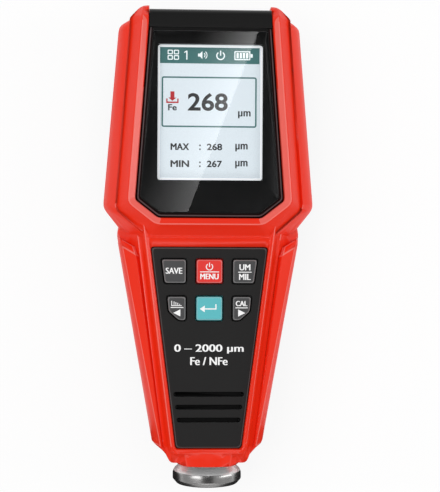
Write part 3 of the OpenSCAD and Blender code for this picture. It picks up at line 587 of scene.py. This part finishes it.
class GAUGE_OT_screen(bpy.types.Operator):
    """Figures, icons and lines that the display shows"""

    bl_idname = "gauge.screen"
    bl_label = "Screen"

    def execute(self, context):
        look = context.scene.gauge_screen
        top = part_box("lcd_panel")[1].z / MM + LIFT
        self.lines(look, top)
        self.icons(look, top + INK + LIFT)
        self.figures(look, top)
        return {"FINISHED"}

    def lines(self, look, top):
        """White rim, black corners, header bar and the box round the reading."""
        rim = bmesh.new()
        outline(rim, *grid_box(157.6, 44.6, 262.4, 179.7), radius=0.6, width=0.62, low=top)
        mask = bmesh.new()
        bend, over = 0.7, 0.2  # radius of the lit corners, and how far the mask reaches past them
        turns = [math.radians(90 * k / 5) for k in range(6)]
        for across, up in ((-1, -1), (1, -1), (1, 1), (-1, 1)):
            x, y = grid_point(SCREEN_PX[0] + across * LIT_HALF[0], SCREEN_PX[1] - up * LIT_HALF[1])
            curve = [
                (x - across * bend * (1 - math.cos(t)), y - up * bend * (1 - math.sin(t))) for t in turns
            ]
            outside = [(x + across * over, y + up * over), (x + across * over, y - up * bend)]
            slab(mask, [*outside, *curve, (x - across * bend, y + up * over)], top + INK + LIFT)
        black = printed("screen_black", bpy.context.scene.gauge_case.bezel, 0.4)
        piece("screen_mask", mask, black, "gauge")
        white = printed("screen_white", (0.93, 0.95, 0.96), 0.4, look.glow)
        piece("screen_rim", rim, white, "gauge")
        bars = bmesh.new()
        bar(bars, *grid_box(159.6, 47, 259.2, 63), top + INK + LIFT)
        outline(bars, *grid_box(161.4, 76.2, 256.6, 126.8), radius=0.7, width=0.45, low=top)
        green = printed("screen_bar", look.bar, 0.4, look.glow * 0.85)
        piece("screen_bars", bars, green, "gauge")

    def icons(self, look, top):
        """Tiles, file number, loudspeaker, power sign and battery in the header bar."""
        top += INK + LIFT
        bm = bmesh.new()
        for x in (167.2, 173.4):
            for y in (49.6, 55.0):
                outline(bm, *grid_box(x, y, x + 5.2, y + 4.6), radius=0.25, width=0.3, low=top)
        x, y = grid_point(186.4, 54.8)
        bar(bm, x - 0.18, y - 1.35, x + 0.18, y + 1.35, top)
        flag = [(x - 0.18, y + 1.35), (x - 0.75, y + 0.95), (x - 0.75, y + 0.6), (x - 0.18, y + 0.95)]
        slab(bm, flag, top)
        x, y = grid_point(197.6, 54.6)
        slab(bm, [(x, y - 0.45), (x + 0.6, y - 0.45), (x + 1.3, y - 1.2), (x + 1.3, y + 1.2),
                  (x + 0.6, y + 0.45), (x, y + 0.45)], top)
        for radius in (0.75, 1.35):
            arc(bm, (x + 1.35, y), radius, 0.24, -50, 100, top, 10)
        x, y = grid_point(220.2, 55.0)
        arc(bm, (x, y), 1.15, 0.36, 125, 290, top)
        bar(bm, x - 0.18, y, x + 0.18, y + 1.55, top)
        outline(bm, *grid_box(234, 50.2, 250, 59.2), radius=0.25, width=0.32, low=top)
        bar(bm, *grid_box(250.2, 53, 252.4, 56.6), top)
        for x in (236.2, 239.4, 242.6, 245.8):
            bar(bm, *grid_box(x, 52, x + 2.1, 57.4), top)
        pale = printed("screen_icon", (0.8, 0.85, 0.85), 0.4, look.glow)
        piece("screen_icons", bm, pale, "gauge")

    def figures(self, look, top):
        """Reading, statistics and the red measuring mark."""
        ink = bmesh.new()
        lettering(ink, look.reading, grid_box(187.6, 92.4, 227.6, 110.4), top, 0.022)
        lettering(ink, "Fe", grid_box(168, 104, 176.6, 110.2), top, 0.02)
        bold(ink, "µm", grid_box(238, 110.2, 250.6, 117.4), top, 0.16)
        for name, value, y in (("MAX", "268", 143.0), ("MIN", "267", 160.0)):
            bold(ink, name, grid_box(170.6, y, 189.2, y + 6.7), top, 0.2)
            lettering(ink, ":", grid_box(199.2, y + 1, 200.8, y + 6.7), top, 0.02)
            lettering(ink, value, grid_box(207, y, 222.2, y + 6.7), top, 0.024)
            bold(ink, "µm", grid_box(235.4, y, 247.8, y + 7.6), top, 0.16)
        piece("screen_figures", ink, printed("screen_ink", look.ink), "gauge")
        mark = bmesh.new()
        x, y = grid_point(172.2, 97)
        bar(mark, x - 0.6, y - 0.1, x + 0.6, y + 1.75, top)
        slab(mark, [(x - 1.2, y - 0.1), (x, y - 1.1), (x + 1.2, y - 0.1)], top)
        bar(mark, x - 1.85, y - 1.75, x + 1.85, y - 1.3, top)
        for side in (-1, 1):
            ends = sorted((x + side * 1.45, x + side * 1.85))
            bar(mark, ends[0], y - 1.3, ends[1], y - 0.4, top)
        red = printed("screen_red", look.mark, 0.4, look.glow * 0.85)
        piece("screen_mark", mark, red, "gauge")


class GAUGE_OT_keypad(bpy.types.Operator):
    """Black keypad panel with its printed range"""

    bl_idname = "gauge.keypad"
    bl_label = "Keypad panel"

    def execute(self, context):
        look = context.scene.gauge_case
        inlay = plastic("inlay_black", look.inlay, 0.5, look.grain * 1.2, 0.00002, shine=0.15)
        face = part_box("keypad_panel")[1].z
        groove, bevel = face - 0.4 * MM, face - 0.1 * MM  # tops of the grooves' floor and of the pale bevel
        # Painted shade: the floors and walls of the grooves, below the face, are painted near-black.
        inlay.overlay(inlay.along(2).below(groove), (0.0015, 0.0015, 0.0015))
        # Painted highlight: a pale band just under the face, on the panel's bevel and the grooves' edges.
        inlay.overlay(inlay.band(groove, bevel), (0.1, 0.105, 0.105))
        panel = softened("keypad_panel", look.edge * 0.4)
        piece("keypad_inlay", panel, inlay.material, "gauge", ["keypad_panel"])
        top = face / MM + LIFT
        bm = bmesh.new()
        bold(bm, "0 – 2000 µm", (-10.4, -31.8, 10.4, -29.1), top, 0.2)
        bold(bm, "Fe / NFe", (-5.6, -35.3, 5.6, -32.9), top, 0.2)
        legend = printed("panel_print", context.scene.gauge_keys.legend)
        piece("panel_lettering", bm, legend, "gauge")
        return {"FINISHED"}


class GAUGE_OT_keys(bpy.types.Operator):
    """Six push keys with their printed legends"""

    bl_idname = "gauge.keys"
    bl_label = "Keys"

    def execute(self, context):
        look = context.scene.gauge_keys
        plain = self.cap("key_plain", look.plain)
        menu = self.cap("key_menu_red", look.menu)
        enter = self.cap("key_enter_teal", look.enter)
        ink = printed("key_print", look.legend)
        self.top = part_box("key_menu")[1].z / MM + LIFT
        caps = (
            ("save", plain, "key_grey"), ("menu", menu, "key_red"), ("unit", plain, "key_grey"),
            ("left", plain, "key_grey"), ("enter", enter, "key_teal"), ("right", plain, "key_grey"),
        )
        for name, finish, slot in caps:
            node = "key_" + name
            piece(name + "_cap", softened(node, look.edge), finish, name + "_key", [node])
            bm = bmesh.new()
            getattr(self, name)(bm, self.cap_middle(node))
            piece(name + "_legend", bm, ink, name + "_key")
        return {"FINISHED"}

    def cap(self, name, base):
        """Plastic of a key, with a painted highlight on its bevel."""
        made = plastic(name, base, 0.52, 0.0004, 0.000015)
        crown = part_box("key_menu")[1].z
        # Painted highlight: the band of the bevel just under the crown is painted paler.
        pale = [part * 0.8 + 0.14 for part in base]
        made.overlay(made.band(crown - 0.3 * MM, crown - 0.08 * MM), pale)
        return made.material

    def cap_middle(self, node):
        """Middle of the key's cap, from the flat top of its mesh."""
        crown = [v.co for v in NODES[node].data.vertices if v.co.z > (self.top - 0.1) * MM]
        return [(min(c[axis] for c in crown) + max(c[axis] for c in crown)) / 2 / MM for axis in (0, 1)]

    def words(self, bm, text, at, x0, y0, x1, y1):
        """Text in a box round the middle of a key."""
        bold(bm, text, (at[0] + x0, at[1] + y0, at[0] + x1, at[1] + y1), self.top, 0.15)

    def rule(self, bm, at, half, y):
        """A line across a key."""
        bar(bm, at[0] - half, at[1] + y - 0.12, at[0] + half, at[1] + y + 0.12, self.top)

    def save(self, bm, at):
        self.words(bm, "SAVE", at, -2.5, -0.75, 2.5, 1.05)

    def menu(self, bm, at):
        self.words(bm, "MENU", at, -2.75, -2.35, 2.75, -0.7)
        self.rule(bm, at, 2.85, -0.15)
        arc(bm, (at[0], at[1] + 1.35), 0.95, 0.26, 125, 290, self.top)
        bar(bm, at[0] - 0.13, at[1] + 1.3, at[0] + 0.13, at[1] + 2.6, self.top)

    def unit(self, bm, at):
        self.words(bm, "UM", at, -1.65, 0.35, 1.65, 2.15)
        self.rule(bm, at, 2.0, -0.2)
        self.words(bm, "MIL", at, -1.75, -2.5, 1.75, -0.7)

    def left(self, bm, at):
        x, y = at[0] + 0.1, at[1]
        bar(bm, x - 1.7, y + 0.75, x + 1.4, y + 0.97, self.top)
        bar(bm, x - 1.7, y + 0.97, x - 1.48, y + 2.3, self.top)
        for k, tall in enumerate((1.0, 0.8, 0.6, 0.3)):
            bar(bm, x - 1.0 + k * 0.55, y + 1.1, x - 0.78 + k * 0.55, y + 1.1 + tall, self.top)
        self.rule(bm, (x, y), 1.9, 0.3)
        slab(bm, [(x - 1.1, y - 1.3), (x + 1.0, y - 2.35), (x + 1.0, y - 0.25)], self.top)

    def enter(self, bm, at):
        x, y = at
        slab(bm, [(x - 2.85, y - 0.1), (x - 1.35, y - 1.1), (x - 1.35, y + 0.9)], self.top)
        bar(bm, x - 1.35, y - 0.28, x + 2.15, y + 0.08, self.top)
        bar(bm, x + 1.79, y + 0.08, x + 2.15, y + 1.3, self.top)

    def right(self, bm, at):
        x, y = at[0] - 0.1, at[1]
        self.words(bm, "CAL", (x, y), -1.75, 0.75, 1.75, 2.3)
        self.rule(bm, (x, y), 1.85, 0.25)
        slab(bm, [(x - 1.0, y - 2.35), (x + 1.1, y - 1.3), (x - 1.0, y - 0.25)], self.top)


class GAUGE_OT_probe(bpy.types.Operator):
    """Turned steel probe with its sensor core and tip"""

    bl_idname = "gauge.probe"
    bl_label = "Probe"

    def execute(self, context):
        look = context.scene.gauge_probe
        steel = lathed("probe_turned", look.steel, 0.26, look.turning, (0.05, 1, 0.05))
        satin = steel.along(1).above(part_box("probe_sleeve")[0].y + look.shoulder)
        steel.overlay(satin, look.satin)
        steel.feed(steel.shader, {"Metallic": 1 - satin * 0.7})
        ring = softened("probe_sleeve", look.edge, angle=15.0)
        piece("probe_ring", ring, steel.material, "probe", ["probe_sleeve"], smooth=25.0)
        wear("probe_core", moulded("core_moulding", (0.03, 0.03, 0.032), 0.5, 0.0003, 0.00002))
        wear("probe_tip", turned("tip_polished", (0.75, 0.73, 0.68), 0.14, 0.0002, (1, 1, 1)))
        return {"FINISHED"}


class GAUGE_OT_inside(bpy.types.Operator):
    """Finishes of the pieces inside the case"""

    bl_idname = "gauge.inside"
    bl_label = "Inside"

    def execute(self, context):
        spring = turned("spring_wire", (0.6, 0.6, 0.6), 0.3, 0.0003, (1, 1, 1))
        screw = turned("screw_zinc", (0.5, 0.5, 0.52), 0.34, 0.0002, (1, 1, 1))
        brass = turned("bush_brass", (0.7, 0.5, 0.2), 0.3, 0.0002, (0.05, 1, 0.05))
        chip = moulded("chip_black", (0.02, 0.02, 0.022), 0.5, 0.0003, 0.00002)
        cell = moulded("cell_wrapper", (0.04, 0.045, 0.06), 0.35, 0.0008, 0.00001, spread=0.12)
        board = moulded("board_mask", (0.012, 0.12, 0.05), 0.3, 0.0008, 0.00002, coat=0.3, spread=0.2)
        tray = moulded("tray_white", (0.7, 0.7, 0.67), 0.5, 0.0004, 0.00002)
        flex = moulded("flex_amber", (0.5, 0.2, 0.03), 0.3, 0.0005, 0.00001)
        lead = moulded("lead_rubber", (0.02, 0.02, 0.022), 0.6, 0.0003, 0.00002)
        worn = {
            "key_domes": spring, "battery_springs": spring, "battery_plates": spring, "probe_clip": spring,
            "board_screws": screw, "case_screws": screw, "probe_bush": brass,
            "board_parts": chip, "buzzer": chip, "cell_left": cell, "cell_right": cell,
            "main_board": board, "lcd_tray": tray, "lcd_flex": flex,
        }
        for node, material in worn.items():
            wear(node, material)
        giving("probe_spring", "sprung_coil", spring)
        giving("sensor_lead", "core_lead", lead)
        return {"FINISHED"}


class GAUGE_OT_stage(bpy.types.Operator):
    """Pale floor, soft lights, reflection card and camera"""

    bl_idname = "gauge.stage"
    bl_label = "Stage"

    def execute(self, context):
        look = context.scene.gauge_stage
        self.floor(look)
        self.card()
        self.lights()
        self.sky(context.scene)
        self.camera(context.scene, look)
        context.scene.view_settings.view_transform = "Standard"
        return {"FINISHED"}

    def plane(self, name, corners, material):
        """A four-cornered sheet of the stage."""
        bm = bmesh.new()
        bm.faces.new([bm.verts.new(corner) for corner in corners])
        mesh = bpy.data.meshes.new(name)
        bm.to_mesh(mesh)
        bm.free()
        mesh.materials.append(material)
        made = bpy.data.objects.new(name, mesh)
        bpy.context.scene.collection.objects.link(made)
        return made

    def level(self, name, half, near, far, height, material):
        """A level sheet, from near to far along the gauge, in metres."""
        corners = [(-half, near, height), (half, near, height), (half, far, height), (-half, far, height)]
        return self.plane(name, corners, material)

    def floor(self, look):
        """A floor that shows white and keeps a share of the shadow."""
        made = Finish("floor_pale", look.floor, 0.8)
        made.vary(made.noise(0.08), 0.01)
        seen, mirrored, through = (
            made.node("ShaderNodeLightPath", {}, {}, kind)
            for kind in ("Is Camera Ray", "Is Glossy Ray", "Is Transmission Ray")
        )
        white = 0.86  # share of plain white; the rest takes light and shadow
        glow = made.tree.nodes.new("ShaderNodeEmission")
        made.show((seen + mirrored + through) * white, made.shader, glow)
        self.level("floor", 3, -3, 3, -0.00005, made.material)

    def card(self):
        """A slanted bright card over the lens, and dark sheets, that only mirror in glossy faces."""
        dim, bright = 1.5, 6.1  # glow of the card's right edge at its near and far end
        near, far, width, rise = (-0.016, -0.018), (0.049, 0.151), 0.034, 0.28
        made = Finish("card_glow", (0, 0, 0), 1.0)
        place = made.node("ShaderNodeTexCoord", {}, {}, "UV")
        parts = made.tree.nodes.new("ShaderNodeSeparateXYZ")
        made.feed(parts, {0: place})
        across, along = (Wire(made, parts.outputs[k]) for k in (0, 1))
        shade = across * across * (along * (bright - dim) + dim) * (1 / bright)
        light = made.between(shade, (0, 0, 0), (1, 1, 1))
        lit = {"Emission Color": light, "Emission Strength": bright, "Specular IOR Level": 0}
        made.feed(made.shader, lit)
        spots = ((near[0] - width, near[1]), near, far, (far[0] - width, far[1]))
        card = self.plane("card", [(x, y, rise) for x, y in spots], made.material)
        uv = card.data.uv_layers.new(name="card")
        for loop, spot in zip(uv.data, ((0, 0), (1, 0), (1, 1), (0, 1))):
            loop.uv = spot
        dark = Finish("hood_black", (0.01, 0.01, 0.01), 1.0).material
        hood = self.level("hood", 0.13, -0.22, 0.22, 0.376, dark)
        apron = self.level("apron", 0.1, -0.18, -0.06, 0.0005, dark)
        for sheet in (card, hood, apron):
            sheet.visible_camera = sheet.visible_diffuse = sheet.visible_shadow = False
            sheet.visible_transmission = False

    def lights(self):
        """Four soft lamps, each with its place and size in metres and its power in watts."""
        aim = Vector((0, 0, 0.02))
        lamps = (
            ("lamp_left", (-0.45, 0.10, 0.72), (0.5, 0.6), 2.4),
            ("lamp_right", (0.5, 0.05, 0.16), (0.12, 0.6), 0.9),
            ("lamp_top", (0.06, 0.6, 0.62), (0.6, 0.4), 1.2),
            ("lamp_low", (0.0, -0.6, 0.40), (0.5, 0.3), 0.8),
        )
        for name, spot, size, power in lamps:
            data = bpy.data.lights.new(name, "AREA")
            data.shape = "RECTANGLE"
            data.size, data.size_y = size
            data.energy = power
            lamp = bpy.data.objects.new(name, data)
            lamp.location = spot
            lamp.rotation_mode = "QUATERNION"
            lamp.rotation_quaternion = (aim - Vector(spot)).to_track_quat("-Z", "Y")
            bpy.context.scene.collection.objects.link(lamp)

    def sky(self, scene):
        """An even white surrounding at half strength."""
        scene.world = bpy.data.worlds.new("studio")
        scene.world.use_nodes = True
        ground = scene.world.node_tree.nodes["Background"]
        ground.inputs["Color"].default_value = (1, 1, 1, 1)
        ground.inputs["Strength"].default_value = 0.5

    def camera(self, scene, look):
        """A camera that looks down on the gauge."""
        data = bpy.data.cameras.new("camera")
        data.sensor_width = SENSOR
        data.lens = SENSOR * look.focal
        data.clip_start, data.clip_end = 0.01, 20
        made = bpy.data.objects.new("camera", data)
        made.location = (-look.aside, look.ahead, look.height)
        made.rotation_euler = (0, -look.yaw, look.roll)
        scene.collection.objects.link(made)
        scene.camera = made


OPERATORS = (
    GAUGE_OT_case, GAUGE_OT_display, GAUGE_OT_screen, GAUGE_OT_keypad, GAUGE_OT_keys, GAUGE_OT_probe,
    GAUGE_OT_inside, GAUGE_OT_stage,
)
GROUPS = {
    "gauge_case": GaugeCase, "gauge_screen": GaugeScreen, "gauge_keys": GaugeKeys,
    "gauge_probe": GaugeProbe, "gauge_stage": GaugeStage,
}


class GAUGE_PT_panel(bpy.types.Panel):
    """Sizes, colours and pieces of the gauge"""

    bl_idname = "GAUGE_PT_panel"
    bl_label = "Gauge"
    bl_space_type = "VIEW_3D"
    bl_region_type = "UI"
    bl_category = "Gauge"

    def draw(self, context):
        for group, kind in GROUPS.items():
            box = self.layout.box()
            for name in kind.__annotations__:
                box.prop(getattr(context.scene, group), name)
        for operator in OPERATORS:
            self.layout.operator(operator.bl_idname)


def register():
    for kind in (*GROUPS.values(), *OPERATORS, GAUGE_PT_panel):
        bpy.utils.register_class(kind)
    for group, kind in GROUPS.items():
        setattr(bpy.types.Scene, group, PointerProperty(type=kind))


def unregister():
    for group in GROUPS:
        delattr(bpy.types.Scene, group)
    for kind in (GAUGE_PT_panel, *reversed(OPERATORS), *reversed(GROUPS.values())):
        bpy.utils.unregister_class(kind)


def main():
    register()
    bpy.ops.gauge.case()
    bpy.ops.gauge.display()
    bpy.ops.gauge.screen()
    bpy.ops.gauge.keypad()
    bpy.ops.gauge.keys()
    bpy.ops.gauge.probe()
    bpy.ops.gauge.inside()
    bpy.ops.gauge.stage()


if __name__ == "__main__":
    main()
